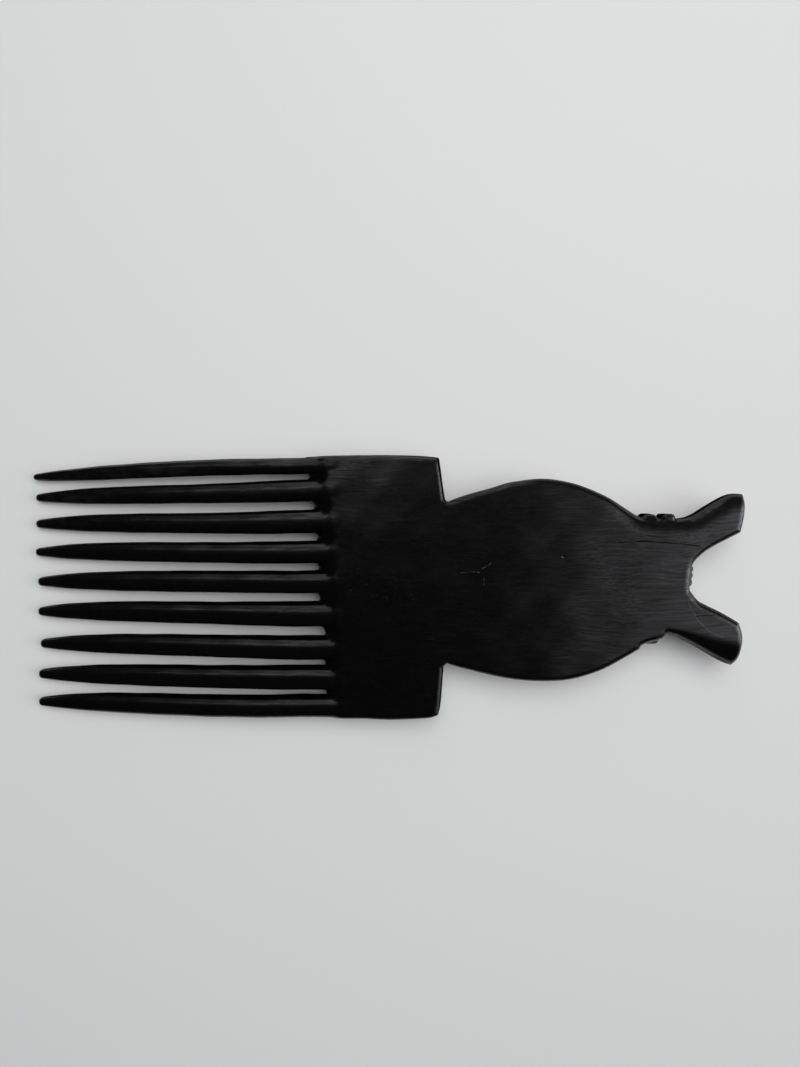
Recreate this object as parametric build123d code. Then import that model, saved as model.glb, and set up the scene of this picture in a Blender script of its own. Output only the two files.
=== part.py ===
from build123d import *
import math
import os

# Hair comb carved from one blank of black hardwood: nine tapered teeth, a square shoulder,
# a rounded handle, and a head that splits into two horns. The back is plain. The front
# carries a raised oval with a rim, two cross bands and a small crest.
# Each carved member is a solid of its own, and neighbours meet face to face.
#
# Frame: +X from the teeth to the horns, +Y across, +Z out of the plain back face.
# Origin: middle of the plan, at the lowest point of the carved front.
# "Left" is +Y and "right" is -Y: the back seen with the horns up.

# Thickness, mm
RELIEF = 4.0                      # how far the carving stands out of the front
PLATE = 8.0                       # the board that everything is carved from
FRONT_Z = RELIEF
BACK_Z = RELIEF + PLATE
MID_Z = RELIEF + PLATE / 2

# Overall plan, mm
TIP_X = -98.9                     # the longest tooth's tip
BLOCK_HALF_WIDTH = 36.4
BLOCK_START_X = -4.0              # where the tooth roots have faded into the block
NECK_END_X = 30.0
DISC_END_X = 71.0

# The line that the slots end on, slightly out of square
ROOT_LEFT = (-16.0, BLOCK_HALF_WIDTH)
ROOT_RIGHT = (-12.9, -BLOCK_HALF_WIDTH)

# Teeth, cut by hand and so each a little different:
# tip x, tip y, y half way, y at the root, width half way, width at the root
TEETH = [
    (-96.5, 33.8, 34.5, 34.2, 4.0, 4.4),
    (-96.0, 27.9, 27.4, 27.1, 5.1, 6.1),
    (-96.5, 20.3, 19.1, 18.6, 5.5, 6.5),
    (-97.2, 12.1, 10.9, 10.1, 5.5, 6.2),
    (-96.9, 3.8, 2.6, 1.8, 5.8, 6.2),
    (-97.5, -5.0, -6.4, -7.1, 6.3, 6.9),
    (-97.3, -14.6, -15.8, -16.6, 5.9, 6.5),
    (-98.3, -23.5, -24.6, -25.0, 6.3, 6.6),
    (TIP_X, -31.5, -32.9, -33.0, 6.0, 6.0),
]
TOOTH_MID_X = -50.0
TOOTH_ROOT_X = -20.0
TOOTH_TIP_SHARE = 0.36            # width at the tip, as a share of the width half way
TOOTH_WIDTH_REACH = 15.0          # length over which the width grows
TOOTH_TIP_THICK = 2.4
TOOTH_FULL_THICK = 7.4
TOOTH_THICK_REACH = 28.0          # length over which the thickness grows
TOOTH_STATIONS = (0.0, 5.0, 13.0, 27.0)
TOOTH_ROUNDING = 0.42             # corner radius as a share of the section's smaller side

# Shoulder corners and the notches that part the shoulder from the handle
SHOULDER_TAPER_X = 6.0
SHOULDER_LEFT = (20.5, 34.6)
SHOULDER_RIGHT = (18.6, -34.7)
NECK_LEFT = (21.7, 22.9)
NECK_RIGHT = (20.5, -20.6)

# Handle edge: rounded, widest a little past its middle
DISC_LEFT_START = (NECK_END_X, 24.9)
DISC_LEFT_PEAK = (48.0, 28.0)
DISC_LEFT_FLANK = (60.0, 24.9)
DISC_LEFT_END = (DISC_END_X, 18.1)
DISC_RIGHT_START = (NECK_END_X, -23.1)
DISC_RIGHT_PEAK = (47.5, -25.6)
DISC_RIGHT_FLANK = (60.0, -23.5)
DISC_RIGHT_END = (DISC_END_X, -17.9)

# Head and horns
HEAD_LEFT_WAIST = (74.0, 16.8)
HEAD_RIGHT_WAIST = (73.2, -15.6)
HEAD_RIGHT_NICK = (79.2, -13.3)
HORN_ROOT_X = 85.0
HORN_LEFT_OUTER_ROOT = (HORN_ROOT_X, 16.9)
HORN_LEFT_INNER_ROOT = (HORN_ROOT_X, 4.2)
HORN_LEFT_OUTER_TIP = (98.5, 22.2)
HORN_LEFT_END = (98.9, 18.5)
HORN_LEFT_INNER_TIP = (97.6, 12.6)
HORN_LEFT_BOWS = (1.2, 0.9)       # outer and inner edges, towards +Y
HORN_RIGHT_OUTER_ROOT = (HORN_ROOT_X, -15.9)
HORN_RIGHT_INNER_ROOT = (HORN_ROOT_X, -2.8)
HORN_RIGHT_OUTER_TIP = (95.7, -22.0)
HORN_RIGHT_END = (97.6, -16.5)
HORN_RIGHT_INNER_TIP = (96.9, -10.9)
HORN_RIGHT_BOWS = (-0.4, -0.4)

# Carving on the front
BAND_DEPTH = 3.0
BAND_SOFTENING = 1.1
INNER_BAND = (75.2, 3.8, 17.9, -16.1)    # middle x, width, left end y, right end y
OUTER_BAND = (79.9, 3.2, 17.8, -13.0)
CREST_START_X = 82.3
CREST_LEFT = (86.2, 3.6)
CREST_RIGHT = (85.2, -1.9)
CREST_HALF_WIDTH = 4.2
CREST_DEPTH = 2.6
CREST_TOP_Z = 9.0
OVAL_CENTRE = (48.0, 1.2)
OVAL_RADII = (15.0, 13.0)
OVAL_SOFTENING = 2.4
RIM_GAP = 1.6
RIM_WIDTH = 2.6
RIM_DEPTH = 2.0
RIM_SOFTENING = 0.7


def prism(edges, low, high):
    """Upright solid on a closed outline."""
    return extrude(Plane.XY.offset(low) * make_face(edges), high - low)


def tooth_width(along, full_width):
    """Width of a tooth at a distance from its tip."""
    return full_width * (1 - (1 - TOOTH_TIP_SHARE) * math.exp(-along / TOOTH_WIDTH_REACH))


def tooth_thickness(along):
    """Thickness of a tooth at a distance from its tip."""
    growth = TOOTH_FULL_THICK - TOOTH_TIP_THICK
    return TOOTH_FULL_THICK - growth * math.exp(-along / TOOTH_THICK_REACH)


def tooth_section(x, y, width, thickness):
    """Rounded section across a tooth."""
    plane = Plane(origin=(x, y, MID_Z), x_dir=(0, 1, 0), z_dir=(1, 0, 0))
    rounding = TOOTH_ROUNDING * min(width, thickness)
    return plane * RectangleRounded(width, thickness, rounding)


def tooth(tip_x, tip_y, mid_y, root_y, mid_width, root_width):
    """One tooth, from its tip to the line that the slots end on."""
    sections = []
    for along in TOOTH_STATIONS:
        y = tip_y + (mid_y - tip_y) * along / (TOOTH_MID_X - tip_x)
        width = tooth_width(along, mid_width)
        sections.append(tooth_section(tip_x + along, y, width, tooth_thickness(along)))
    mid_thickness = tooth_thickness(TOOTH_MID_X - tip_x)
    sections.append(tooth_section(TOOTH_MID_X, mid_y, mid_width, mid_thickness))
    for x in (TOOTH_ROOT_X, ROOT_RIGHT[0]):
        sections.append(tooth_section(x, root_y, root_width, TOOTH_FULL_THICK))
    return loft(sections) & tooth_side_of_root_line()


def tooth_side_of_root_line():
    """Space on the teeth's side of the root line."""
    edges = Polyline(
        ROOT_LEFT,
        (TIP_X, BLOCK_HALF_WIDTH),
        (TIP_X, -BLOCK_HALF_WIDTH),
        ROOT_RIGHT,
        close=True,
    )
    return prism(edges, FRONT_Z, BACK_Z)


def tooth_root_bar():
    """Solid wood behind the slots."""
    edges = Polyline(
        ROOT_LEFT,
        (BLOCK_START_X, BLOCK_HALF_WIDTH),
        (BLOCK_START_X, -BLOCK_HALF_WIDTH),
        ROOT_RIGHT,
        close=True,
    )
    return prism(edges, FRONT_Z, BACK_Z)


def shoulder_block():
    """Square shoulder, a little narrower at its outer corners."""
    edges = Polyline(
        (BLOCK_START_X, BLOCK_HALF_WIDTH),
        (SHOULDER_TAPER_X, BLOCK_HALF_WIDTH),
        SHOULDER_LEFT,
        NECK_LEFT,
        NECK_RIGHT,
        SHOULDER_RIGHT,
        (SHOULDER_TAPER_X, -BLOCK_HALF_WIDTH),
        (BLOCK_START_X, -BLOCK_HALF_WIDTH),
        close=True,
    )
    return prism(edges, FRONT_Z, BACK_Z)


def neck():
    """Waist between the shoulder and the handle."""
    edges = Polyline(NECK_LEFT, DISC_LEFT_START, DISC_RIGHT_START, NECK_RIGHT, close=True)
    return prism(edges, FRONT_Z, BACK_Z)


def handle_disc():
    """Rounded handle between the neck and the head."""
    edges = [
        Spline(DISC_LEFT_START, DISC_LEFT_PEAK, DISC_LEFT_FLANK, DISC_LEFT_END),
        Line(DISC_LEFT_END, DISC_RIGHT_END),
        Spline(DISC_RIGHT_END, DISC_RIGHT_FLANK, DISC_RIGHT_PEAK, DISC_RIGHT_START),
        Line(DISC_RIGHT_START, DISC_LEFT_START),
    ]
    return prism(edges, FRONT_Z, BACK_Z)


def head_plate():
    """Head, from the handle to the roots of the horns."""
    edges = Polyline(
        DISC_LEFT_END,
        HEAD_LEFT_WAIST,
        HORN_LEFT_OUTER_ROOT,
        HORN_RIGHT_OUTER_ROOT,
        HEAD_RIGHT_NICK,
        HEAD_RIGHT_WAIST,
        DISC_RIGHT_END,
        close=True,
    )
    return prism(edges, FRONT_Z, BACK_Z)


def bowed_edge(start, end, bow):
    """Arc between two points, its middle moved along Y by the bow."""
    middle = ((start[0] + end[0]) / 2, (start[1] + end[1]) / 2 + bow)
    return ThreePointArc(start, middle, end)


def horn(outer_root, outer_tip, end, inner_tip, inner_root, bows):
    """Horn that bows out of the head and ends in a bluntly rounded tip."""
    outer_bow, inner_bow = bows
    edges = [
        bowed_edge(outer_root, outer_tip, outer_bow),
        ThreePointArc(outer_tip, end, inner_tip),
        bowed_edge(inner_tip, inner_root, inner_bow),
        Line(inner_root, outer_root),
    ]
    return prism(edges, FRONT_Z, BACK_Z)


def horn_left():
    """Horn on the +Y side."""
    return horn(
        HORN_LEFT_OUTER_ROOT,
        HORN_LEFT_OUTER_TIP,
        HORN_LEFT_END,
        HORN_LEFT_INNER_TIP,
        HORN_LEFT_INNER_ROOT,
        HORN_LEFT_BOWS,
    )


def horn_right():
    """Horn on the -Y side."""
    return horn(
        HORN_RIGHT_OUTER_ROOT,
        HORN_RIGHT_OUTER_TIP,
        HORN_RIGHT_END,
        HORN_RIGHT_INNER_TIP,
        HORN_RIGHT_INNER_ROOT,
        HORN_RIGHT_BOWS,
    )


def cross_band(middle_x, width, left_y, right_y):
    """Raised band across the front of the head, its ends just proud of the edges."""
    place = Pos(middle_x, (left_y + right_y) / 2, FRONT_Z - BAND_DEPTH / 2)
    band = place * Box(width, left_y - right_y, BAND_DEPTH)
    front_edges = band.faces().sort_by(Axis.Z)[0].edges()
    return fillet(front_edges, BAND_SOFTENING)


def crest_knob(head):
    """Small crest on the front that also fills the crotch between the horns."""
    middle_y = (HORN_LEFT_INNER_ROOT[1] + HORN_RIGHT_INNER_ROOT[1]) / 2
    edges = Polyline(
        (CREST_START_X, middle_y + CREST_HALF_WIDTH / 2),
        CREST_LEFT,
        CREST_RIGHT,
        (CREST_START_X, middle_y - CREST_HALF_WIDTH / 2),
        close=True,
    )
    return prism(edges, FRONT_Z - CREST_DEPTH, CREST_TOP_Z) - head


def oval_boss():
    """Raised oval on the front of the handle: the lowest point when the comb lies on its front."""
    place = Pos(*OVAL_CENTRE, 0)
    boss = extrude(place * Ellipse(*OVAL_RADII), RELIEF)
    front_edges = boss.faces().sort_by(Axis.Z)[0].edges()
    return fillet(front_edges, OVAL_SOFTENING)


def boss_rim():
    """Low rim round the raised oval."""
    place = Pos(*OVAL_CENTRE, FRONT_Z - RIM_DEPTH)
    inner = [radius + RIM_GAP for radius in OVAL_RADII]
    outer = [radius + RIM_WIDTH for radius in inner]
    rim = extrude(place * (Ellipse(*outer) - Ellipse(*inner)), RIM_DEPTH)
    front_edges = rim.faces().sort_by(Axis.Z)[0].edges()
    return fillet(front_edges, RIM_SOFTENING)


def all_members():
    """Every carved member by name."""
    members = {f"tooth_{number}": tooth(*shape) for number, shape in enumerate(TEETH, 1)}
    head = head_plate()
    members["tooth_root_bar"] = tooth_root_bar()
    members["shoulder_block"] = shoulder_block()
    members["neck"] = neck()
    members["handle_disc"] = handle_disc()
    members["head_plate"] = head
    members["horn_left"] = horn_left()
    members["horn_right"] = horn_right()
    members["band_inner"] = cross_band(*INNER_BAND)
    members["band_outer"] = cross_band(*OUTER_BAND)
    members["crest_knob"] = crest_knob(head)
    members["oval_boss"] = oval_boss()
    members["boss_rim"] = boss_rim()
    return members


os.makedirs("parts", exist_ok=True)
for name, member in all_members().items():
    export_step(member, f"parts/{name}.step")
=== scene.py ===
import bmesh
import bpy
import numpy as np
from functools import reduce
from math import cos, radians, sin
from mathutils import Matrix, Vector


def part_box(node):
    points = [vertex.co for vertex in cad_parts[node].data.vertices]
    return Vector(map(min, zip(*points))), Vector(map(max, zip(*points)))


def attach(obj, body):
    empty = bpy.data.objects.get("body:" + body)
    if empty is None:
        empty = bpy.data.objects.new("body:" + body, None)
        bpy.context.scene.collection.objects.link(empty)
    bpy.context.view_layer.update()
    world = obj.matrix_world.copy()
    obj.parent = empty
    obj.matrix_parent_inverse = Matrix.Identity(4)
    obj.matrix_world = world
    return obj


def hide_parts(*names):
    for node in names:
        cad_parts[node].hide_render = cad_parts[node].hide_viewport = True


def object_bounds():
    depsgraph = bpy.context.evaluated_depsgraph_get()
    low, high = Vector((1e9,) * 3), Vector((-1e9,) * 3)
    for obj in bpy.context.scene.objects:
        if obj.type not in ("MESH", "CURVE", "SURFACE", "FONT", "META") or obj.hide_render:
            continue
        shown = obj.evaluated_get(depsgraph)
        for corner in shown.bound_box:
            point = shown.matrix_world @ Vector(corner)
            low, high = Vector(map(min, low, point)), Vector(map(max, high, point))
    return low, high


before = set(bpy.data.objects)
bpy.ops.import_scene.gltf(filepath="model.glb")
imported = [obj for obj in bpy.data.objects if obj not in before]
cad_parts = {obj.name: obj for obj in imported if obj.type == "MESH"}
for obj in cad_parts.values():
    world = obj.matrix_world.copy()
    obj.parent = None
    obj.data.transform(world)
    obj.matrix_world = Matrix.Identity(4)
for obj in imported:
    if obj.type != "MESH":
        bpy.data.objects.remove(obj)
cad_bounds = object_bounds()

# The comb is carved here as one block of wood, as a field that is negative inside the wood and measures
# roughly the distance to its surface. Its surface is then meshed and cut into the CAD's members.
# Lengths in the carving are millimetres; pieces are made in metres.
MM = 0.001
GRID = 0.3


def span_mm(node, axis):
    """Lowest and highest coordinate of a CAD node along one axis, in mm."""
    low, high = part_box(node)
    return low[axis] / MM, high[axis] / MM


FRONT_Z, BACK_Z = span_mm("handle_disc", 2)
MID_Z = (FRONT_Z + BACK_Z) / 2
HALF_BOARD = (BACK_Z - FRONT_Z) / 2
BLOCK_START_X = span_mm("shoulder_block", 0)[0]
NECK_END_X = span_mm("neck", 0)[1]
DISC_END_X = span_mm("handle_disc", 0)[1]
HEAD_END_X = span_mm("head_plate", 0)[1]

# Teeth from +Y to -Y: y at the tip, half way and at the root, then the width half way and at the root.
TEETH = [
    (33.6, 34.4, 33.9, 4.5, 4.4),
    (27.6, 27.3, 27.1, 5.4, 6.1),
    (20.1, 19.0, 18.6, 5.8, 6.5),
    (11.9, 10.8, 10.1, 5.8, 6.2),
    (3.3, 2.5, 1.8, 6.1, 6.2),
    (-5.4, -6.4, -7.1, 6.2, 6.9),
    (-14.9, -15.8, -16.6, 6.1, 6.5),
    (-23.9, -24.7, -25.0, 6.2, 6.6),
    (-32.1, -33.1, -33.0, 6.0, 6.0),
]
TOOTH_MID_X = -50.0
TOOTH_ROOT_X = -20.0

# Where each slot between two teeth ends: x, y
SLOT_ENDS = [
    (-14.9, 31.2),
    (-13.8, 22.9),
    (-13.1, 14.3),
    (-13.1, 5.7),
    (-13.3, -2.4),
    (-12.1, -12.3),
    (-12.5, -20.9),
    (-12.5, -29.5),
]

# Edge of the shoulder, handle and horns, as smooth stretches that meet at corners, clockwise from the
# first tooth. Its left end is hidden among the tooth roots.
EDGE = [
    [(-17.0, 36.3), (-8.0, 36.25), (0.0, 36.05), (8.0, 35.85), (14.0, 35.5), (20.7, 34.7)],
    [(20.7, 34.7), (21.2, 31.2), (21.7, 26.8), (22.1, 23.4)],
    [(22.1, 23.4), (23.0, 22.8), (26.0, 23.8), (30.0, 24.9), (35.0, 26.1), (40.0, 27.45), (48.0, 28.0),
     (56.0, 26.6), (64.0, 23.0), (69.0, 19.65), (73.2, 17.1), (78.0, 16.75), (83.0, 16.5), (86.0, 17.3),
     (90.0, 19.75), (94.0, 21.9), (96.5, 22.5), (98.7, 22.3)],
    [(98.7, 22.3), (98.95, 19.5), (98.5, 16.0), (97.6, 12.6)],
    [(97.6, 12.6), (95.0, 11.3), (90.0, 8.65), (87.0, 6.35), (85.6, 4.4), (85.0, 1.0), (84.8, -2.0)],
    [(84.8, -2.0), (87.0, -4.8), (90.0, -6.6), (93.5, -8.5), (97.0, -10.7)],
    [(97.0, -10.7), (97.8, -13.8), (97.7, -17.0), (97.1, -20.3), (95.8, -22.4)],
    [(95.8, -22.4), (93.0, -21.2), (90.0, -19.4), (86.0, -16.85), (82.0, -14.6), (79.0, -13.2)],
    [(79.0, -13.2), (77.6, -14.5), (74.0, -15.5), (72.4, -16.2)],
    [(72.4, -16.2), (71.9, -17.2)],
    [(71.9, -17.2), (68.0, -19.5), (62.0, -22.65), (55.0, -24.95), (47.5, -25.6), (40.0, -25.2),
     (33.0, -23.85), (25.0, -21.8), (21.7, -20.5)],
    [(21.7, -20.5), (20.4, -21.6)],
    [(20.4, -21.6), (20.1, -24.8), (19.4, -31.0), (18.9, -34.8)],
    [(18.9, -34.8), (16.0, -35.85), (10.0, -36.2), (4.0, -36.3), (-4.0, -36.1), (-17.0, -36.1)],
]
SHOULDER_CORNER_X = 20.5
EDGE_STEPS = 6                 # straight runs between two points of a smooth stretch

# Rounding of the board's edges
SOFT_EDGE = 1.5
CRISP_EDGE = 0.6
CRISP_REACH = 3.0              # how far from the shoulder's end the edges are crisp

# The back is a little crowned, and the head slopes down towards the horns.
CROWN = 0.00042
HEAD_SLOPE = 0.00062
HEAD_SLOPE_START = 46.0

# Wood between the slots' ends and the full board: a ramp on both faces
RAMP_LENGTH = 6.5
RAMP_NOSE = 1.1
RAMP_OVERHANG = RAMP_LENGTH / 3   # how far out over the slot the ramp's profile begins
END_ROUNDING = 0.20            # per mm, how the slots' ends curve back off their middle lines
END_REACH = 2.0

# Outer edges of the horns, where the back rolls away: the edge, the x where the roll begins and is full,
# its reach at the horn's root and end, its steepness
ROLLS = [
    ([(78.5, -12.6), (82.0, -14.3), (86.0, -16.6), (90.0, -19.1), (95.8, -22.2)],
     (77.0, 82.0), (1.8, 7.5), 0.42),
    ([(66.0, 21.7), (73.2, 17.1), (83.0, 16.5), (86.0, 17.3), (90.0, 19.7), (94.0, 21.9), (98.7, 22.3)],
     (62.0, 74.0), (4.4, 5.4), 0.25),
]
ROLL_X = (80.0, 98.0)          # the horns' roots and ends

# Teeth: width and thickness grow from the tip
TIP_SHARE = 0.36
WIDTH_REACH = 13.0
THICK_REACH = 28.0
TIP_HALF = 1.2
FULL_HALF = 3.6
TOOTH_BOW = 0.15
SECTION_POWER = 2.9            # 2 is an ellipse, more is squarer
TIP_ROUNDING = 1.2
TIP_INSET = 0.1
TOOTH_END_X = 0.0
CREST_RISE = 0.45              # teeth reach the back face's level at their roots
CREST_RISE_X = (-45.0, -16.0)
CREST_SINK = 1.6               # and sink into the shoulder past the slots
CREST_SINK_X = (-8.0, 0.5)
ROOT_BLEND = 0.5
TINY = 1e-6

# Front carving. The board's front face stays this far behind the plane that the carving is cut off at.
FRONT_SKIN = 0.35
BANDS = [("band_inner", 9.9, 1.2), ("band_outer", 10.3, 0.9)]
CREST_LUMPS = [
    ((85.0, 3.1, 4.9), (1.9, 1.3, 3.4)),
    ((85.0, 1.4, 4.7), (1.8, 1.2, 3.2)),
    ((84.8, -0.3, 5.1), (1.6, 1.5, 3.5)),
]
CREST_BLEND = 0.5
DOME_SINK = 0.4                # the oval's widest line lies this far inside the board
RIM_HALF_WIDTH = 1.3
RIM_HEIGHT = 1.9
ROPE_DEPTH = 0.13
ROPE_TURNS = 44
ROPE_SLANT = 1.6
GROOVES_X = (2.5, 14.5)
ZIGZAG_PITCH = 9.0
ZIGZAG_INSET = 2.4
GROOVE_HALF_LENGTH = 31.5
GROOVE_DEPTH = 0.55
FACET_LINE = ((5.0, 35.4), (20.0, 33.8))
FACET_LEAN = 68.0

# How far the creases and edges between the carvings are softened
FACET_BLEND = 0.5
BAND_BLEND = 0.6
CREST_FOOT_BLEND = 0.4
OVAL_BLEND = 0.5
GROOVE_BLEND = 0.3

# Where the comb is sawn into its members. Saw lines run in plan with what is sawn off ahead to their right.
NECK_LINE = ((20.5, -20.6), (21.7, 22.9))
ROOT_LINE = ((-12.9, -36.4), (-16.0, 36.4))
FAR = 60.0
SAW_SNAP = 0.0005
TOOTH_NODES = [f"tooth_{number}" for number in range(1, len(TEETH) + 1)]
RELIEF_NODES = ["oval_boss", "boss_rim", "band_inner", "band_outer", "crest_knob"]
CROTCH_NODES = ["horn_right", "crest_knob"]
HORN_LEFT_LINE = ((1.0, 4.3), (0.0, 4.3))

# Meshing: steps that settle the vertices on the surface, and the least slope of the field trusted in them
SETTLE_STEPS = 2
LEAST_SLOPE = 0.2
GRID_MARGIN = 3                # grid lines past the CAD's box

# How sharply the surface bends, per mm, measured over a reach: on worn edges and in dull hollows
BEND_REACH = 0.7
WORN_BEND = (0.45, 1.3)
HOLLOW_BEND = (0.15, 0.9)


def straight_across(x):
    """Saw line square across the comb."""
    return (x, -FAR), (x, FAR)


# Members from the teeth to the head, each with the saw line ahead of it
SAW_LINES = [
    ("teeth", *ROOT_LINE),
    ("tooth_root_bar", *straight_across(BLOCK_START_X)),
    ("shoulder_block", *NECK_LINE),
    ("neck", *straight_across(NECK_END_X)),
    ("handle_disc", *straight_across(DISC_END_X)),
    ("head_plate", *straight_across(HEAD_END_X)),
]


def smooth_step(low, high, value):
    """0 below low, 1 above high, smooth between."""
    share = np.clip((value - low) / (high - low), 0, 1)
    return share * share * (3 - 2 * share)


def union(a, b, reach):
    """Two fields joined, with the crease filled over a reach."""
    share = np.clip(0.5 + 0.5 * (b - a) / reach, 0, 1)
    return b + (a - b) * share - reach * share * (1 - share)


def overlap(a, b, reach):
    """What two fields share, with the edge softened over a reach."""
    return -union(-a, -b, reach)


def spline_points(points, steps):
    """Smooth run through given points, without its last point."""
    path = np.array([points[0], *points, points[-1]], float)
    path[0] = 2 * path[1] - path[2]
    path[-1] = 2 * path[-2] - path[-3]
    found = []
    for index in range(len(points) - 1):
        a, b, c, d = path[index:index + 4]
        for step in range(steps):
            t = step / steps
            found.append(
                0.5 * (2 * b + (c - a) * t + (2 * a - 5 * b + 4 * c - d) * t ** 2
                       + (3 * b - a - 3 * c + d) * t ** 3)
            )
    return found


def run_distance(x, y, start, end):
    """Distance in plan to a straight run."""
    run_x, run_y = end[0] - start[0], end[1] - start[1]
    length = run_x * run_x + run_y * run_y
    along = np.clip(((x - start[0]) * run_x + (y - start[1]) * run_y) / length, 0, 1)
    return np.hypot(x - start[0] - along * run_x, y - start[1] - along * run_y)


def line_distance(x, y, points):
    """Distance in plan to a smooth open line."""
    corners = spline_points(points, EDGE_STEPS) + [np.array(points[-1], float)]
    runs = zip(corners, corners[1:])
    return np.min([run_distance(x, y, start, end) for start, end in runs], axis=0)


def edge_distance(x, y):
    """Distance in plan to the board's edge, negative inside."""
    corners = [corner for stretch in EDGE for corner in spline_points(stretch, EDGE_STEPS)]
    nearest = np.full(np.broadcast(x, y).shape, np.inf)
    inside = np.zeros(nearest.shape, bool)
    for start, end in zip(corners, corners[1:] + corners[:1]):
        nearest = np.minimum(nearest, run_distance(x, y, start, end))
        if start[1] != end[1]:
            crossing = start[0] + (y - start[1]) * (end[0] - start[0]) / (end[1] - start[1])
            inside ^= ((start[1] > y) != (end[1] > y)) & (x < crossing)
    return np.where(inside, -nearest, nearest)


def rounded_plate(side, rise, rounding):
    """Plate from its distance in plan and its distance past a face, with rounded edges."""
    corner = np.hypot(np.maximum(side + rounding, 0), np.maximum(rise + rounding, 0))
    return corner + np.minimum(np.maximum(side, rise) + rounding, 0) - rounding


def unevenness(x, y, z):
    """Slow waves left by hand carving and rubbing down."""
    return (
        0.045 * np.sin(0.21 * x + 0.17 * y + 0.9) * np.cos(0.13 * x - 0.29 * y + 0.3 * z)
        + 0.030 * np.sin(0.47 * x - 0.11 * y + 2.1 + 0.5 * z) * np.sin(0.39 * y + 0.5)
        + 0.004 * np.sin(0.85 * x + 0.4 * y + 1.3) * np.sin(1.15 * y - 0.1 * x + 0.7 * z)
    )


def back_height(x, y):
    """Height of the back face."""
    height = BACK_Z - CROWN * y * y - HEAD_SLOPE * np.maximum(x - HEAD_SLOPE_START, 0) ** 2
    for edge, begin_x, reaches, steepness in ROLLS:
        reach = np.interp(x, ROLL_X, reaches)
        inward = np.clip(1 - line_distance(x, y, edge) / reach, 0, 1)
        height = height - steepness * reach * inward ** 2 * smooth_step(*begin_x, x)
    return height


def board(x, y, z):
    """Shoulder, handle, head and horns, with the ramp that the slots end on."""
    side = edge_distance(x, y)
    ends = np.array(SLOT_ENDS)[::-1]
    off_slot = np.min([np.abs(y - end_y) for _, end_y in SLOT_ENDS], axis=0)
    past_slot = x - np.interp(y, ends[:, 1], ends[:, 0])
    past_slot = past_slot + END_ROUNDING * np.minimum(off_slot, END_REACH) ** 2
    side = np.maximum(side, -past_slot)
    sunk = (HALF_BOARD - RAMP_NOSE) * (1 - smooth_step(-RAMP_OVERHANG, RAMP_LENGTH, past_slot))
    rise = np.maximum(z + sunk - back_height(x, y), FRONT_Z + FRONT_SKIN + sunk - z)
    crisp = np.exp(-((x - SHOULDER_CORNER_X) / CRISP_REACH) ** 2)
    rounding = SOFT_EDGE + (CRISP_EDGE - SOFT_EDGE) * crisp
    return rounded_plate(side, rise, rounding)


def tooth_centre(x, y):
    """Middle, half width, and distance from the tip of the tooth nearest to each point in plan."""
    shape = np.broadcast(x, y).shape
    middle, half_width, from_tip = np.zeros(shape), np.ones(shape), np.zeros(shape)
    nearest = np.full(shape, np.inf)
    for number, (tip_y, mid_y, root_y, mid_width, root_width) in enumerate(TEETH, 1):
        tip_x = span_mm(f"tooth_{number}", 0)[0]
        stations = [tip_x, (tip_x + TOOTH_MID_X) / 2, TOOTH_MID_X, TOOTH_ROOT_X]
        heights = [tip_y, (tip_y + mid_y) / 2 + TOOTH_BOW, mid_y, root_y]
        line = np.polyval(np.polyfit(stations, heights, 3), np.maximum(x, tip_x))
        line = np.where(x > TOOTH_ROOT_X, root_y, line)
        along = x - tip_x
        growth = 1 - (1 - TIP_SHARE) * np.exp(-np.maximum(along, 0) / WIDTH_REACH)
        flare = (root_width / mid_width - 1) * smooth_step(TOOTH_MID_X, TOOTH_ROOT_X, x)
        half = mid_width / 2 * (growth + flare)
        gap = np.abs(y - line) - half
        closest = gap < nearest
        nearest = np.where(closest, gap, nearest)
        middle = np.where(closest, line, middle)
        half_width = np.where(closest, half, half_width)
        from_tip = np.where(closest, along, from_tip)
    return middle, half_width, from_tip


def teeth(x, y, z):
    """All nine teeth, rounded in section and blunt at the tip, running on into the shoulder."""
    middle, half_width, from_tip = tooth_centre(x, y)
    thick = FULL_HALF - (FULL_HALF - TIP_HALF) * np.exp(-np.maximum(from_tip, 0) / THICK_REACH)
    thick = thick - CREST_SINK * smooth_step(*CREST_SINK_X, x)
    crest_rise = (CREST_RISE - CROWN * middle ** 2) * smooth_step(*CREST_RISE_X, x)
    thick = thick + np.where(z > MID_Z, crest_rise, 0)
    across = np.abs(y - middle) / half_width + TINY
    up = np.abs(z - MID_Z) / thick + TINY
    size = (across ** SECTION_POWER + up ** SECTION_POWER) ** (1 / SECTION_POWER)
    steepness = np.hypot(
        (across / size) ** (SECTION_POWER - 1) / half_width,
        (up / size) ** (SECTION_POWER - 1) / thick,
    )
    section = (size - 1) / steepness
    section = overlap(section, TIP_INSET - from_tip, TIP_ROUNDING)
    return np.maximum(section, x - TOOTH_END_X)


def soft_box(x, y, z, low, high, rounding):
    """Box with rounded edges."""
    outside = 0
    inside = -np.inf
    for value, start, end in zip((x, y, z), low, high):
        past = np.abs(value - (start + end) / 2) - (end - start) / 2 + rounding
        outside = outside + np.maximum(past, 0) ** 2
        inside = np.maximum(inside, past)
    return np.sqrt(outside) + np.minimum(inside, 0) - rounding


def pebble(x, y, z, centre, radii):
    """Egg-shaped lump."""
    away = [(value - middle) / radius for value, middle, radius in zip((x, y, z), centre, radii)]
    size = np.sqrt(sum(part ** 2 for part in away)) + TINY
    steepness = np.sqrt(sum((part / radius) ** 2 for part, radius in zip(away, radii))) / size
    return (size - 1) / (steepness + TINY)


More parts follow.
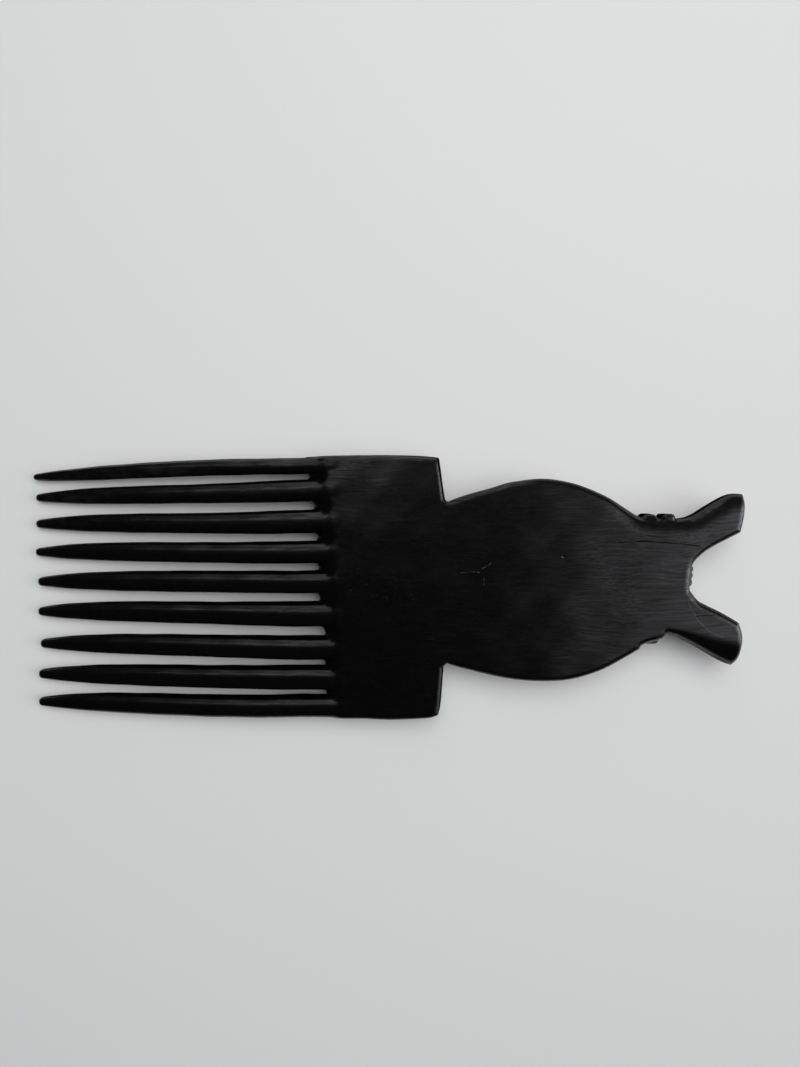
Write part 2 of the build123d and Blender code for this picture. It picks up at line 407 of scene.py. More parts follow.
def cross_bands(x, y, z):
    """Two raised bands on the front of the head, whose ends stand proud of its edges."""
    field = np.inf
    for node, top, rounding in BANDS:
        (low_x, low_y, low_z), (high_x, high_y, _) = [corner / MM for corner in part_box(node)]
        low, high = (low_x, low_y, low_z), (high_x, high_y, top)
        field = np.minimum(field, soft_box(x, y, z, low, high, rounding))
    return field


def crest(x, y, z):
    """Ragged little crest in the crotch between the horns."""
    lumps = [pebble(x, y, z, centre, radii) for centre, radii in CREST_LUMPS]
    return reduce(lambda one, other: union(one, other, CREST_BLEND), lumps)


def oval(x, y, z):
    """Domed oval on the front of the handle and the roped rim round it."""
    low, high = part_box("oval_boss")
    centre_x, centre_y = (low.x + high.x) / 2 / MM, (low.y + high.y) / 2 / MM
    radii = ((high.x - low.x) / 2 / MM, (high.y - low.y) / 2 / MM)
    dome_height = FRONT_Z + DOME_SINK
    dome = pebble(x, y, z, (centre_x, centre_y, dome_height), (*radii, dome_height))
    rim_low, rim_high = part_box("boss_rim")
    outer = (rim_high.x - rim_low.x) / 2 / MM
    middle = outer - RIM_HALF_WIDTH
    along_x, along_y = x - centre_x, (y - centre_y) * radii[0] / radii[1]
    radius = np.hypot(along_x, along_y)
    turn = np.arctan2(along_y, along_x)
    strand = 1 + ROPE_DEPTH * np.cos(ROPE_TURNS * turn + ROPE_SLANT * (radius - middle))
    rim = np.hypot((radius - middle) / RIM_HALF_WIDTH, (z - FRONT_Z) / RIM_HEIGHT) - strand
    return np.minimum(dome, rim * RIM_HALF_WIDTH)


def front_grooves(x, y, z):
    """Two straight grooves and a zigzag cut into the front of the shoulder."""
    fold = np.abs((y / ZIGZAG_PITCH) % 1 - 0.5) * 2
    zigzag_width = GROOVES_X[1] - GROOVES_X[0] - 2 * ZIGZAG_INSET
    zigzag_x = GROOVES_X[0] + ZIGZAG_INSET + zigzag_width * fold
    slope = 2 * zigzag_width / ZIGZAG_PITCH
    away = np.minimum(np.abs(x - zigzag_x) / np.hypot(1, slope), np.abs(x - GROOVES_X[0]))
    away = np.minimum(away, np.abs(x - GROOVES_X[1]))
    away = np.maximum(away, np.abs(y) - GROOVE_HALF_LENGTH)
    return np.hypot(np.maximum(away, 0), z - FRONT_Z) - GROOVE_DEPTH


def side_facet(x, y, z):
    """Sloping cut along the shoulder's left edge that fades out towards the teeth."""
    (start_x, start_y), (end_x, end_y) = FACET_LINE
    run = Vector((end_x - start_x, end_y - start_y, 0)).normalized()
    lean = radians(FACET_LEAN)
    outward = (-run.y * sin(lean), run.x * sin(lean), cos(lean))
    return (x - end_x) * outward[0] + (y - end_y) * outward[1] + (z - BACK_Z) * outward[2]


def comb(x, y, z):
    """The whole comb."""
    wood = union(board(x, y, z), teeth(x, y, z), ROOT_BLEND)
    wood = overlap(wood, side_facet(x, y, z), FACET_BLEND)
    wood = union(wood, cross_bands(x, y, z), BAND_BLEND)
    wood = union(wood, crest(x, y, z), CREST_FOOT_BLEND)
    wood = union(wood, oval(x, y, z), OVAL_BLEND)
    wood = overlap(wood, -front_grooves(x, y, z), GROOVE_BLEND)
    return wood + unevenness(x, y, z)


def sample(volume, places):
    """Values of a grid at places given in grid steps, linear between grid points."""
    low = np.clip(np.floor(places).astype(int), 0, np.array(volume.shape) - 2)
    share = places - low
    total = 0
    for corner in np.ndindex(2, 2, 2):
        weight = np.prod(np.where(corner, share, 1 - share), axis=1)
        total = total + weight * volume[tuple((low + corner).T)]
    return total


def grid_axes():
    """Grid lines along each axis, in mm, a little past the CAD's box."""
    low, high = [np.array(corner) / MM for corner in cad_bounds]
    before = GRID_MARGIN * GRID
    after = (GRID_MARGIN + 0.5) * GRID
    return [np.arange(a - before, b + after, GRID, dtype=np.float32) for a, b in zip(low, high)]


def cell_beside(at, sides, back):
    """Grid cells beside some grid edges, a step back or none along each of two axes."""
    cell = at.copy()
    cell[:, sides[0]] -= back[0]
    cell[:, sides[1]] -= back[1]
    return tuple(cell.T)


def surface(volume):
    """Vertices, in grid steps, and four-sided faces of the surface where a grid changes sign."""
    inside = volume < 0
    total = np.zeros((*[n - 1 for n in volume.shape], 3))
    count = np.zeros(total.shape[:3])
    quads = []
    crossings = []
    for axis in range(3):
        near = [slice(None)] * 3
        far = [slice(None)] * 3
        near[axis], far[axis] = slice(0, -1), slice(1, None)
        near, far = tuple(near), tuple(far)
        at = np.argwhere(inside[near] != inside[far])
        a, b = volume[near][tuple(at.T)], volume[far][tuple(at.T)]
        place = at.astype(float)
        place[:, axis] += a / (a - b)
        sides = [other for other in range(3) if other != axis]
        for back in np.ndindex(2, 2):
            cell = cell_beside(at, sides, back)
            np.add.at(total, cell, place)
            np.add.at(count, cell, 1)
        crossings.append((at, sides, a < 0, axis))
    used = count > 0
    number = np.full(count.shape, -1)
    number[used] = np.arange(used.sum())
    vertices = total[used] / count[used][:, None]
    for at, sides, solid_first, axis in crossings:
        ring = ((0, 0), (1, 0), (1, 1), (0, 1))
        quad = np.stack([number[cell_beside(at, sides, back)] for back in ring], axis=1)
        flip = solid_first if axis == 1 else ~solid_first
        quad[flip] = quad[flip][:, ::-1]
        quads.append(quad)
    return vertices, np.concatenate(quads)


def carve():
    """Vertices in mm and faces of the comb, and functions for the surface's normal and bend at any place."""
    axes = grid_axes()
    x, y, z = np.ix_(*axes)
    volume = comb(x, y, z)
    start = np.array([axis[0] for axis in axes])
    slopes = np.gradient(volume)

    def normal_at(points):
        places = (points - start) / GRID
        normal = np.stack([sample(slope, places) for slope in slopes], axis=1)
        return normal / np.maximum(np.linalg.norm(normal, axis=1)[:, None], TINY)

    def bend_at(points):
        around = -6 * sample(volume, (points - start) / GRID)
        for direction in np.vstack([np.eye(3), -np.eye(3)]) * BEND_REACH:
            around += sample(volume, (points + direction - start) / GRID)
        return around / BEND_REACH ** 2

    vertices, faces = surface(volume)
    points = start + vertices * GRID
    for _ in range(SETTLE_STEPS):
        places = (points - start) / GRID
        slope = np.stack([sample(part, places) for part in slopes], axis=1) / GRID
        steep = np.maximum((slope ** 2).sum(axis=1), LEAST_SLOPE)
        points = points - slope * (sample(volume, places) / steep)[:, None]
    return points, faces, normal_at, bend_at


def loose_parts(mesh):
    """Loose parts of a mesh, as lists of vertices."""
    waiting = set(mesh.verts)
    parts = []
    while waiting:
        open_ends = [waiting.pop()]
        part = []
        while open_ends:
            vertex = open_ends.pop()
            part.append(vertex)
            for edge in vertex.link_edges:
                other = edge.other_vert(vertex)
                if other in waiting:
                    waiting.remove(other)
                    open_ends.append(other)
        parts.append(part)
    return parts


def cut(mesh, point, direction):
    """Saws a closed mesh in two. What lies along the direction is returned, and the rest stays in mesh."""
    ahead = mesh.copy()
    for part, dropped in ((mesh, "clear_outer"), (ahead, "clear_inner")):
        everything = part.verts[:] + part.edges[:] + part.faces[:]
        bmesh.ops.bisect_plane(
            part, geom=everything, dist=SAW_SNAP, plane_co=point, plane_no=direction, **{dropped: True}
        )
        rim = [edge for edge in part.edges if edge.is_boundary]
        sawn = bmesh.ops.triangle_fill(part, use_beauty=False, edges=rim)
        for face in sawn["geom"]:
            if isinstance(face, bmesh.types.BMFace):
                face.smooth = False
    return ahead


def cut_upright(mesh, start, end):
    """Saws upright along a line in plan. What lies to the right of the line is returned."""
    return cut(mesh, (*start, 0), (end[1] - start[1], start[0] - end[0], 0))


def pick(mesh, vertices):
    """Copy of one loose part of a mesh."""
    chosen = {vertex.index for vertex in vertices}
    part = mesh.copy()
    unwanted = [vertex for vertex in part.verts if vertex.index not in chosen]
    bmesh.ops.delete(part, geom=unwanted, context="VERTS")
    return part


def misfit(vertices, node):
    """How far the box round some vertices, in mm, is from a CAD node's box in plan."""
    low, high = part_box(node)
    xs = [vertex.co.x for vertex in vertices]
    ys = [vertex.co.y for vertex in vertices]
    ends = ((min(xs), low.x), (max(xs), high.x), (min(ys), low.y), (max(ys), high.y))
    return sum(abs(own - cad / MM) for own, cad in ends)


def name_parts(mesh, nodes):
    """Loose parts of a mesh, each under the CAD node that it fits best, in the order of the nodes."""
    mesh.verts.index_update()
    members = {}
    for part in loose_parts(mesh):
        node = min(nodes, key=lambda name: misfit(part, name))
        members.setdefault(node, []).extend(part)
    return {node: pick(mesh, members[node]) for node in nodes if node in members}


def solid_mesh(points, faces):
    """Mesh of the whole comb, in mm."""
    shell = bpy.data.meshes.new("carving")
    shell.from_pydata(points.tolist(), [], faces.tolist())
    solid = bmesh.new()
    solid.from_mesh(shell)
    bpy.data.meshes.remove(shell)
    for face in solid.faces:
        face.smooth = True
    return solid


def saw_apart(whole):
    """Members of the comb by name. The crest has two: its front, and its foot between the horns."""
    relief = cut(whole, (0, 0, FRONT_Z), (0, 0, -1))
    members = name_parts(relief, RELIEF_NODES)
    rest = whole
    for node, start, end in SAW_LINES:
        ahead = cut_upright(rest, start, end)
        members[node] = rest
        rest = ahead
    members.update(name_parts(members.pop("teeth"), TOOTH_NODES))
    members["horn_left"] = cut_upright(rest, *HORN_LEFT_LINE)
    crotch = name_parts(rest, CROTCH_NODES)
    members["horn_right"] = crotch["horn_right"]
    members["crest_foot"] = crotch["crest_knob"]
    return members


def corner_normals(mesh, normals, sawn):
    """Normal at each corner of each face: the carved surface's own, or the face's where it was sawn."""
    found = []
    for face, flat in zip(mesh.polygons, sawn):
        for vertex in face.vertices:
            found.append(tuple(face.normal if flat else normals[vertex]))
    return found


def note_bend(mesh, bend):
    """Stores how worn and how hollow the surface is at each vertex, for the wood's look."""
    amounts = {"wear": smooth_step(*WORN_BEND, bend), "hollow": smooth_step(*HOLLOW_BEND, -bend)}
    for name, amount in amounts.items():
        stored = mesh.attributes.new(name, "FLOAT", "POINT")
        stored.data.foreach_set("value", amount.astype(np.float32))


def member_object(member, solid, normal_at, bend_at):
    """Blender piece for one member, shaded with the carved surface's own normals."""
    sawn = [not face.smooth for face in solid.faces]
    mesh = bpy.data.meshes.new(member)
    solid.to_mesh(mesh)
    solid.free()
    places = np.array([vertex.co for vertex in mesh.vertices])
    normals = corner_normals(mesh, normal_at(places), sawn)
    note_bend(mesh, bend_at(places))
    for face in mesh.polygons:
        face.use_smooth = True
    mesh.transform(Matrix.Scale(MM, 4))
    mesh.normals_split_custom_set(normals)
    piece = bpy.data.objects.new(f"carved_{member}", mesh)
    bpy.context.scene.collection.objects.link(piece)
    return piece


# Ebony. Lengths are millimetres, colours linear.
BLACK = (0.0012, 0.0012, 0.0014, 1)
DARK_BROWN = (0.0032, 0.0024, 0.0019, 1)
RED_BROWN = (0.0090, 0.0048, 0.0032, 1)
OLIVE = (0.0062, 0.0053, 0.0034, 1)
WORN_GREY = (0.014, 0.0125, 0.0115, 1)
PALE_SPECK = (0.060, 0.050, 0.036, 1)
SCRATCH_GREY = (0.048, 0.048, 0.046, 1)
CRACK_BLACK = (0.0004, 0.0004, 0.0004, 1)
SCRATCH_SHARE = 0.7

# Patches with a colour of their own: centre, then half lengths along x and y
BROWN_PATCHES = [((2.0, 18.6), (13.0, 2.4)), ((13.0, 34.8), (9.0, 1.3))]
OLIVE_PATCHES = [((22.0, 5.5), (12.0, 6.0)), ((44.0, -2.0), (9.0, 3.0)), ((10.0, 7.0), (9.0, 4.0))]
SPECK_PATCHES = [((4.0, -1.5), (14.0, 9.0)), ((23.0, -5.0), (2.5, 3.0)), ((-2.0, 8.0), (9.0, 6.0))]
WORN_PATCHES = [((-86.0, 27.0), (20.0, 12.0)), ((-62.0, 33.0), (30.0, 3.0))]

# Runs of cracks and scratches: points, then half width
CRACKS = [
    ([(67.0, 11.1), (74.0, 10.9), (82.0, 10.1), (87.3, 9.4)], 0.10),
    ([(86.0, -8.7), (92.0, -8.0)], 0.11),
]
SCRATCHES = [
    ([(84.4, -5.0), (86.3, -9.3), (89.5, -12.6), (92.6, -14.0)], 0.18),
    ([(84.9, -3.2), (88.0, -8.0)], 0.07),
    ([(26.2, 3.9), (28.6, 4.2), (31.0, 3.9)], 0.11),
    ([(31.9, 4.9), (34.2, 6.2)], 0.12),
    ([(32.3, 2.9), (32.1, 0.4)], 0.10),
]
PIT = ((53.0, 7.5), 0.55)      # middle, radius
PIT_FLOOR = 0.25               # how much of the pit's radius is its floor

# Cracks and scratches fade out between these shares of their half widths, and down between these heights
MARK_FADE = (0.3, 1.6)
MARK_HEIGHTS = (MID_Z - 1.0, MID_Z)

# Patches reach this deep, and fade out between these shares of their half lengths
PATCH_DEPTH = HALF_BOARD + 1.0
PATCH_FADE = (0.35, 1.0)

# How far cracks and scratches stray from their runs, and how often
MARK_WANDER = 0.9
MARK_WANDER_SCALE = 0.35

# Where cracks and scratches are interrupted: waves to a mm, and the noise where they vanish and are whole
CRACK_BREAKS = ((0.5, 0.5, 0.5), (0.30, 0.45))
SCRATCH_BREAKS = ((1.1, 1.1, 1.1), (0.32, 0.62))

# Grain, drawn out along x: waves to a mm along each axis, detail
GRAIN_NOISES = {
    "broad": ((0.018, 0.22, 0.22), 2.0),
    "grain": ((0.050, 2.30, 2.30), 3.0),
    "fine": ((0.110, 5.50, 5.50), 2.0),
}
MOTTLE_NOISE = ((0.35, 0.50, 0.50), 4.0)
NOISE_ROUGHNESS = 0.6
GRAIN_BEND = (0.0, 5.0, 5.0)   # how far the grain lines stray across the comb
GRAIN_BEND_SCALE = 0.04

# Pores and specks: how many to a mm along each axis, and the distances from their middles where they fade
PORE_CELLS = (0.30, 2.6, 2.6)
PORE_FADE = (0.06, 0.20)
SPECK_CELLS = (0.8, 1.3, 1.3)
SPECK_FADE = (0.10, 0.26)

WALL_FACING = (0.22, 0.65)     # how far walls may face up or down: fully walls, and no longer walls

# Roughness and specular level over the grain: where the change begins and ends, and what it gives there
GRAIN_ROUGHNESS = (0.25, 0.75, 0.16, 0.27)
MOTTLE_ROUGHNESS = (0.3, 0.7, -0.01, 0.02)
GRAIN_SHINE = (0.30, 0.66, 0.66, 0.38)
FINE_SHINE = (0.35, 0.65, 0.14, -0.14)

# What each figure of the wood adds to its roughness, and to its relief in mm
ROUGHNESS_ADDED = {"walls": 0.30, "hollow": 0.20, "pores": 0.10, "scratches": 0.25, "cracks": 0.7}
RELIEF_ADDED = {
    "grain": 0.0080,
    "fine": 0.0032,
    "mottle": 0.003,
    "pores": -0.002,
    "cracks": -0.02,
    "scratches": -0.02,
    "pit": -0.12,
}
CRACK_DULLING = -0.45
# How far the shine is cut in hollows: painted shade, darkening them where occlusion falls
HOLLOW_SHADE = 0.7


def shader_node(tree, kind, settings=None, **inputs):
    """New node, with inputs given as numbers or as other nodes' outputs."""
    node = tree.nodes.new(kind)
    for name, value in (settings or {}).items():
        setattr(node, name, value)
    for name, value in inputs.items():
        feed(tree, node.inputs[name.replace("_", " ")], value)
    return node


def feed(tree, socket, value):
    """Links a socket to another node's output, or sets it to a constant."""
    if isinstance(value, bpy.types.NodeSocket):
        tree.links.new(value, socket)
    else:
        socket.default_value = value


def maths(tree, operation, *values):
    """Arithmetic on numbers."""
    node = tree.nodes.new("ShaderNodeMath")
    node.operation = operation
    for socket, value in zip(node.inputs, values):
        feed(tree, socket, value)
    return node.outputs[0]


def vector_maths(tree, operation, *values, output="Vector"):
    """Arithmetic on vectors."""
    node = tree.nodes.new("ShaderNodeVectorMath")
    node.operation = operation
    for socket, value in zip(node.inputs, values):
        feed(tree, socket, value)
    return node.outputs[output]


def ramp(tree, value, start, end, low=0.0, high=1.0):
    """Smooth change from low to high as a value goes from start to end."""
    node = shader_node(
        tree, "ShaderNodeMapRange", {"interpolation_type": "SMOOTHSTEP"},
        Value=value, From_Min=start, From_Max=end, To_Min=low, To_Max=high,
    )
    return node.outputs["Result"]


def held(tree, value):
    """Value held between 0 and 1."""
    return shader_node(tree, "ShaderNodeClamp", Value=value).outputs["Result"]


def blend_colour(tree, share, one, other):
    """Colour between two."""
    node = shader_node(tree, "ShaderNodeMix", {"data_type": "RGBA"})
    for name, value in (("Factor_Float", share), ("A_Color", one), ("B_Color", other)):
        feed(tree, next(socket for socket in node.inputs if socket.identifier == name), value)
    return next(socket for socket in node.outputs if socket.identifier == "Result_Color")


def noise(tree, place, waves, detail=3.0):
    """Noise from 0 to 1, with so many waves to a millimetre along each axis."""
    node = shader_node(
        tree, "ShaderNodeTexNoise",
        Vector=vector_maths(tree, "MULTIPLY", place, waves), Scale=1.0, Detail=detail,
        Roughness=NOISE_ROUGHNESS,
    )
    return node.outputs["Fac"]


def cell_distance(tree, place, waves):
    """Distance to the nearest of many scattered points, with so many to a millimetre along each axis."""
    scaled = vector_maths(tree, "MULTIPLY", place, waves)
    return shader_node(tree, "ShaderNodeTexVoronoi", Vector=scaled, Scale=1.0).outputs["Distance"]


def patches(tree, place, spots):
    """1 in the middle of each patch on the back face, fading to 0 at its edge."""
    total = 0.0
    for (x, y), (half_x, half_y) in spots:
        away = vector_maths(tree, "SUBTRACT", place, (x, y, BACK_Z))
        away = vector_maths(tree, "DIVIDE", away, (half_x, half_y, PATCH_DEPTH))
        share = ramp(tree, vector_maths(tree, "LENGTH", away, output="Value"), *PATCH_FADE, 1.0, 0.0)
        total = maths(tree, "MAXIMUM", total, share)
    return total


def marks(tree, place, lines):
    """1 along thin broken lines on the back face, 0 away from them."""
    total = 0.0
    flat = vector_maths(tree, "MULTIPLY", place, (1, 1, 0))
    for points, half_width in lines:
        for start, end in zip(points, points[1:]):
            run = Vector((end[0] - start[0], end[1] - start[1], 0))
            away = vector_maths(tree, "SUBTRACT", flat, (*start, 0))
            along = vector_maths(tree, "DOT_PRODUCT", away, tuple(run / run.length_squared), output="Value")
            foot = shader_node(tree, "ShaderNodeVectorMath", {"operation": "SCALE"}, Scale=held(tree, along))
            foot.inputs[0].default_value = run
            off = vector_maths(tree, "DISTANCE", away, foot.outputs["Vector"], output="Value")
            share = ramp(tree, off, MARK_FADE[0] * half_width, MARK_FADE[1] * half_width, 1.0, 0.0)
            total = maths(tree, "MAXIMUM", total, share)
    height = shader_node(tree, "ShaderNodeSeparateXYZ", Vector=place).outputs["Z"]
    return maths(tree, "MULTIPLY", total, ramp(tree, height, *MARK_HEIGHTS))


def figures_of_wood(tree, place):
    """Numbers from 0 to 1 over the wood that its colour, gloss and relief are made from."""
    slow = shader_node(tree, "ShaderNodeTexNoise", Vector=place, Scale=GRAIN_BEND_SCALE, Detail=1.0)
    bend = vector_maths(tree, "MULTIPLY", slow.outputs["Color"], GRAIN_BEND)
    bent = vector_maths(tree, "ADD", place, bend)
    figures = {name: noise(tree, bent, *settings) for name, settings in GRAIN_NOISES.items()}
    figures["pores"] = ramp(tree, cell_distance(tree, bent, PORE_CELLS), *PORE_FADE, 1.0, 0.0)
    figures["specks"] = ramp(tree, cell_distance(tree, place, SPECK_CELLS), *SPECK_FADE, 1.0, 0.0)
    figures["mottle"] = noise(tree, place, *MOTTLE_NOISE)
    for name in ("wear", "hollow"):
        figures[name] = shader_node(tree, "ShaderNodeAttribute", {"attribute_name": name}).outputs["Fac"]
    facing = shader_node(tree, "ShaderNodeTexCoord").outputs["Normal"]
    facing = shader_node(tree, "ShaderNodeSeparateXYZ", Vector=facing).outputs["Z"]
    figures["walls"] = ramp(tree, maths(tree, "ABSOLUTE", facing), *WALL_FACING, 1.0, 0.0)
    return figures


def damage(tree, place):
    """Cracks, scratches and the pit, as numbers from 0 to 1 over the wood."""
    wander = shader_node(tree, "ShaderNodeTexNoise", Vector=place, Scale=MARK_WANDER_SCALE, Detail=2.0)
    wander = vector_maths(tree, "SUBTRACT", wander.outputs["Color"], (0.5, 0.5, 0.5))
    wander = vector_maths(tree, "MULTIPLY", wander, (MARK_WANDER, MARK_WANDER, 0.0))
    line_place = vector_maths(tree, "ADD", place, wander)
    crack_waves, crack_breaks = CRACK_BREAKS
    broken = ramp(tree, noise(tree, place, crack_waves), *crack_breaks)
    scratch_waves, scratch_breaks = SCRATCH_BREAKS
    skipping = ramp(tree, noise(tree, place, scratch_waves), *scratch_breaks)
    pit_middle, pit_radius = PIT
    pit_away = vector_maths(tree, "DISTANCE", place, (*pit_middle, BACK_Z), output="Value")
    return {
        "cracks": maths(tree, "MULTIPLY", marks(tree, line_place, CRACKS), broken),
        "scratches": maths(tree, "MULTIPLY", marks(tree, line_place, SCRATCHES), skipping),
        "pit": ramp(tree, pit_away, PIT_FLOOR * pit_radius, pit_radius, 1.0, 0.0),
    }


def wood_colour(tree, place, figures):
    """Black, under layers of other colours. Each layer's share is the product of the numbers after it."""
    grain, fine, mottle = figures["grain"], figures["fine"], figures["mottle"]
    layers = [
        (DARK_BROWN, ramp(tree, grain, 0.48, 0.78), ramp(tree, figures["broad"], 0.40, 0.70)),
        (RED_BROWN, patches(tree, place, BROWN_PATCHES), ramp(tree, grain, 0.50, 0.70)),
        (OLIVE, patches(tree, place, OLIVE_PATCHES), ramp(tree, fine, 0.50, 0.68)),
        (WORN_GREY, patches(tree, place, WORN_PATCHES), ramp(tree, mottle, 0.42, 0.62, 0.0, 0.4)),
        (WORN_GREY, figures["wear"], ramp(tree, mottle, 0.40, 0.66, 0.05, 0.55)),
        (PALE_SPECK, patches(tree, place, SPECK_PATCHES), figures["specks"],
         ramp(tree, mottle, 0.44, 0.62, 0.0, 0.30)),
        (SCRATCH_GREY, figures["scratches"], SCRATCH_SHARE),
        (CRACK_BLACK, figures["cracks"]),
    ]
    colour = BLACK
    for layer_colour, *shares in layers:
        share = reduce(lambda one, other: maths(tree, "MULTIPLY", one, other), shares)
        colour = blend_colour(tree, share, colour, layer_colour)
    return colour


def added_up(tree, figures, amounts, total):
    """A number plus so much of each figure."""
    for name, amount in amounts.items():
        total = maths(tree, "MULTIPLY_ADD", figures[name], amount, total)
    return total


def wood_gloss(tree, figures):
    """Roughness: rubbed smooth on the open faces, duller on walls and in hollows, pores and scratches."""
    gloss = ramp(tree, figures["grain"], *GRAIN_ROUGHNESS)
    gloss = maths(tree, "ADD", gloss, ramp(tree, figures["mottle"], *MOTTLE_ROUGHNESS))
    return added_up(tree, figures, ROUGHNESS_ADDED, gloss)


def wood_shine(tree, figures):
    """Specular level: open grain shows as fine dull lines; on walls and in hollows the shine is cut, painted
    shade standing in for the shadowed floor that walls mirror and for occlusion in hollows.
    """
    shine = ramp(tree, figures["grain"], *GRAIN_SHINE)
    shine = maths(tree, "ADD", shine, ramp(tree, figures["fine"], *FINE_SHINE))
    shine = maths(tree, "MULTIPLY_ADD", figures["cracks"], CRACK_DULLING, shine)
    # Painted shade: the shine is cut on walls and in hollows to darken them where shadow and occlusion fall
    hollow_shade = maths(tree, "MULTIPLY", figures["hollow"], HOLLOW_SHADE)
    dull = maths(tree, "MAXIMUM", figures["walls"], hollow_shade)
    return maths(tree, "MULTIPLY", shine, maths(tree, "SUBTRACT", 1.0, dull))


def ebony():
    """Satin ebony: black with brown grain along the comb, pores, rubbing marks, cracks and worn edges."""
    material = bpy.data.materials.new("ebony_satin")
    material.use_nodes = True
    tree = material.node_tree
    shader = tree.nodes["Principled BSDF"]
    metres = shader_node(tree, "ShaderNodeTexCoord").outputs["Object"]
    place = vector_maths(tree, "MULTIPLY", metres, (1 / MM, 1 / MM, 1 / MM))
    figures = figures_of_wood(tree, place)
    figures.update(damage(tree, place))
    relief = added_up(tree, figures, RELIEF_ADDED, 0.0)
    bump = shader_node(tree, "ShaderNodeBump", Height=relief, Distance=MM, Strength=1.0)
    feed(tree, shader.inputs["Base Color"], wood_colour(tree, place, figures))
    feed(tree, shader.inputs["Roughness"], wood_gloss(tree, figures))
    feed(tree, shader.inputs["Specular IOR Level"], wood_shine(tree, figures))
    feed(tree, shader.inputs["Normal"], bump.outputs["Normal"])
    return material


def build_comb():
    """Carved pieces, each standing for a CAD node."""
    points, faces, normal_at, bend_at = carve()
    wood = ebony()
    for member, solid in saw_apart(solid_mesh(points, faces)).items():
        piece = member_object(member, solid, normal_at, bend_at)
        piece.data.materials.append(wood)
        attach(piece, "root")
        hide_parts("crest_knob" if member == "crest_foot" else member)


# The comb lies on its oval and on its tooth tips, so the floor leans a little in the comb's own frame.
FLOOR_NORMAL = Vector((0.0453, -0.0015, 0.999)).normalized()
FLOOR_UNDER_ORIGIN = 0.00195
FLOOR_HALF_SIZE = 3.0
FLOOR_COLOUR = (0.72, 0.72, 0.71, 1)
FLOOR_ROUGHNESS = 0.9

CAMERA_AT = Vector((0.0359, 0.0248, 0.2076))
CAMERA_TO = Vector((0.00975, 0.01453, 0.008))
CAMERA_TURN = radians(-1.5)
CAMERA_LENS = 24.97
CAMERA_SENSOR = 36.0
CAMERA_NEAR = 0.01


def floor():
    """Pale floor."""
    mesh = bpy.data.meshes.new("floor")
    corners = [(-1, -1), (1, -1), (1, 1), (-1, 1)]
    places = []
    for x, y in corners:
        x, y = x * FLOOR_HALF_SIZE, y * FLOOR_HALF_SIZE
        z = (FLOOR_UNDER_ORIGIN - FLOOR_NORMAL.x * x - FLOOR_NORMAL.y * y) / FLOOR_NORMAL.z
        places.append((x, y, z))
    mesh.from_pydata(places, [], [(0, 1, 2, 3)])
    material = bpy.data.materials.new("floor_pale")
    material.use_nodes = True
    shader = material.node_tree.nodes["Principled BSDF"]
    shader.inputs["Base Color"].default_value = FLOOR_COLOUR
    shader.inputs["Roughness"].default_value = FLOOR_ROUGHNESS
    mesh.materials.append(material)
    piece = bpy.data.objects.new("floor", mesh)
    bpy.context.scene.collection.objects.link(piece)


def camera():
    """Camera above the comb, where the photo was taken from."""
    lens = bpy.data.cameras.new("camera")
    lens.sensor_fit = "VERTICAL"
    lens.sensor_height = CAMERA_SENSOR
    lens.lens = CAMERA_LENS
    lens.clip_start = CAMERA_NEAR
    forward = (CAMERA_TO - CAMERA_AT).normalized()
    sideways = Vector((cos(CAMERA_TURN), sin(CAMERA_TURN), 0))
    right = (sideways - forward * sideways.dot(forward)).normalized()
    up = right.cross(forward)
    place = Matrix((right, up, -forward)).transposed().to_4x4()
    place.translation = CAMERA_AT
    piece = bpy.data.objects.new("camera", lens)
    piece.matrix_world = place
    bpy.context.scene.collection.objects.link(piece)
    bpy.context.scene.camera = piece


ALWAYS = (-3.0, -2.0)          # a ramp that every direction is past
NEVER = (2.0, 3.0)             # a ramp that no direction reaches

# Glows of the room, by the x and y of their direction: brightness, where x brightens it, where x dims it,
# where y brightens it, where y dims it
GLOWS = [
    (0.52, (0.095, 0.150), NEVER, (-0.55, -0.22), (0.06, 0.35)),
    (3.40, (0.20, 0.98), NEVER, (-0.60, -0.05), (0.05, 0.45)),
    (0.09, (-0.60, -0.30), NEVER, (-0.06, 0.10), NEVER),
    (0.85, (-0.38, -0.26), (-0.10, 0.04), (0.20, 0.55), NEVER),
    (0.02, ALWAYS, NEVER, ALWAYS, NEVER),
]
GLOW_COLOUR = (0.95, 0.96, 1.0, 1)
BACKDROP = (0.60, 0.60, 0.59, 1)

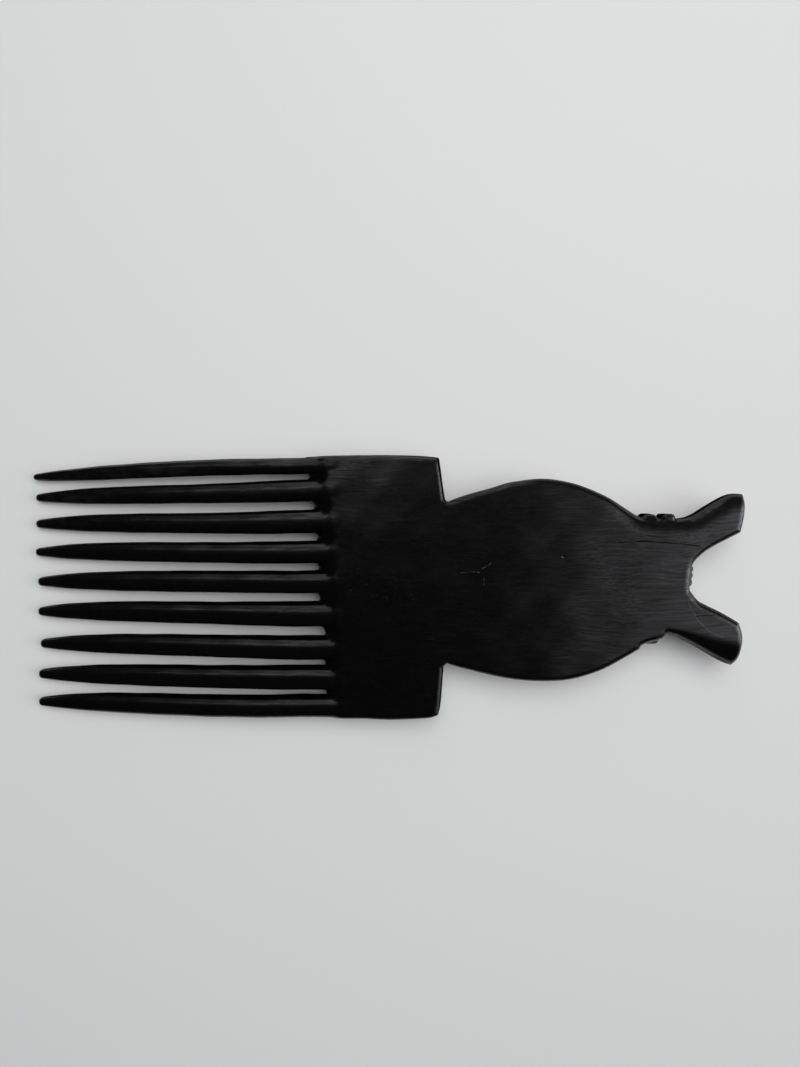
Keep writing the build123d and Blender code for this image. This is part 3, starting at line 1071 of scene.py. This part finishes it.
# Soft lights: name, place, what each points at, width, height, watts, whether the wood's gloss mirrors it
SOFTBOXES = [
    ("softbox_key", (0.20, 0.27, 0.62), (0, 0.02, 0), 0.5, 0.5, 3.0, False),
    ("softbox_teeth", (-0.28, 0.24, 0.82), (0, 0.03, 0), 0.17, 0.38, 0.18, True),
]


def softbox(name, at, to, width, height, watts, mirrored):
    """Soft rectangular light."""
    light = bpy.data.lights.new(name, "AREA")
    light.shape = "RECTANGLE"
    light.size = width
    light.size_y = height
    light.energy = watts
    piece = bpy.data.objects.new(name, light)
    piece.location = at
    piece.visible_glossy = mirrored
    piece.rotation_euler = (Vector(to) - Vector(at)).to_track_quat("-Z", "Y").to_euler()
    bpy.context.scene.collection.objects.link(piece)


def sky(world):
    """Room that the wood's gloss mirrors, as a sum of glows, behind which the camera sees plain grey."""
    tree = world.node_tree
    direction = shader_node(tree, "ShaderNodeTexCoord").outputs["Generated"]
    parts = shader_node(tree, "ShaderNodeSeparateXYZ", Vector=direction).outputs
    total = 0.0
    for brightness, rise_x, fall_x, rise_y, fall_y in GLOWS:
        glow = ramp(tree, parts["X"], *rise_x, 0.0, brightness)
        glow = maths(tree, "MULTIPLY", glow, ramp(tree, parts["X"], *fall_x, 1.0, 0.0))
        glow = maths(tree, "MULTIPLY", glow, ramp(tree, parts["Y"], *rise_y))
        total = maths(tree, "MULTIPLY_ADD", glow, ramp(tree, parts["Y"], *fall_y, 1.0, 0.0), total)
    background = tree.nodes["Background"]
    background.inputs["Color"].default_value = GLOW_COLOUR
    feed(tree, background.inputs["Strength"], total)
    backdrop = shader_node(tree, "ShaderNodeBackground", Color=BACKDROP)
    seen = shader_node(tree, "ShaderNodeLightPath").outputs["Is Camera Ray"]
    mix = shader_node(tree, "ShaderNodeMixShader", Fac=seen)
    tree.links.new(background.outputs["Background"], mix.inputs[1])
    tree.links.new(backdrop.outputs["Background"], mix.inputs[2])
    tree.links.new(mix.outputs["Shader"], tree.nodes["World Output"].inputs["Surface"])


def lights():
    """Soft lights over the comb and the room round it."""
    world = bpy.data.worlds.new("studio")
    world.use_nodes = True
    bpy.context.scene.world = world
    sky(world)
    for settings in SOFTBOXES:
        softbox(*settings)


bpy.context.scene.view_settings.view_transform = "Standard"
build_comb()
floor()
camera()
lights()
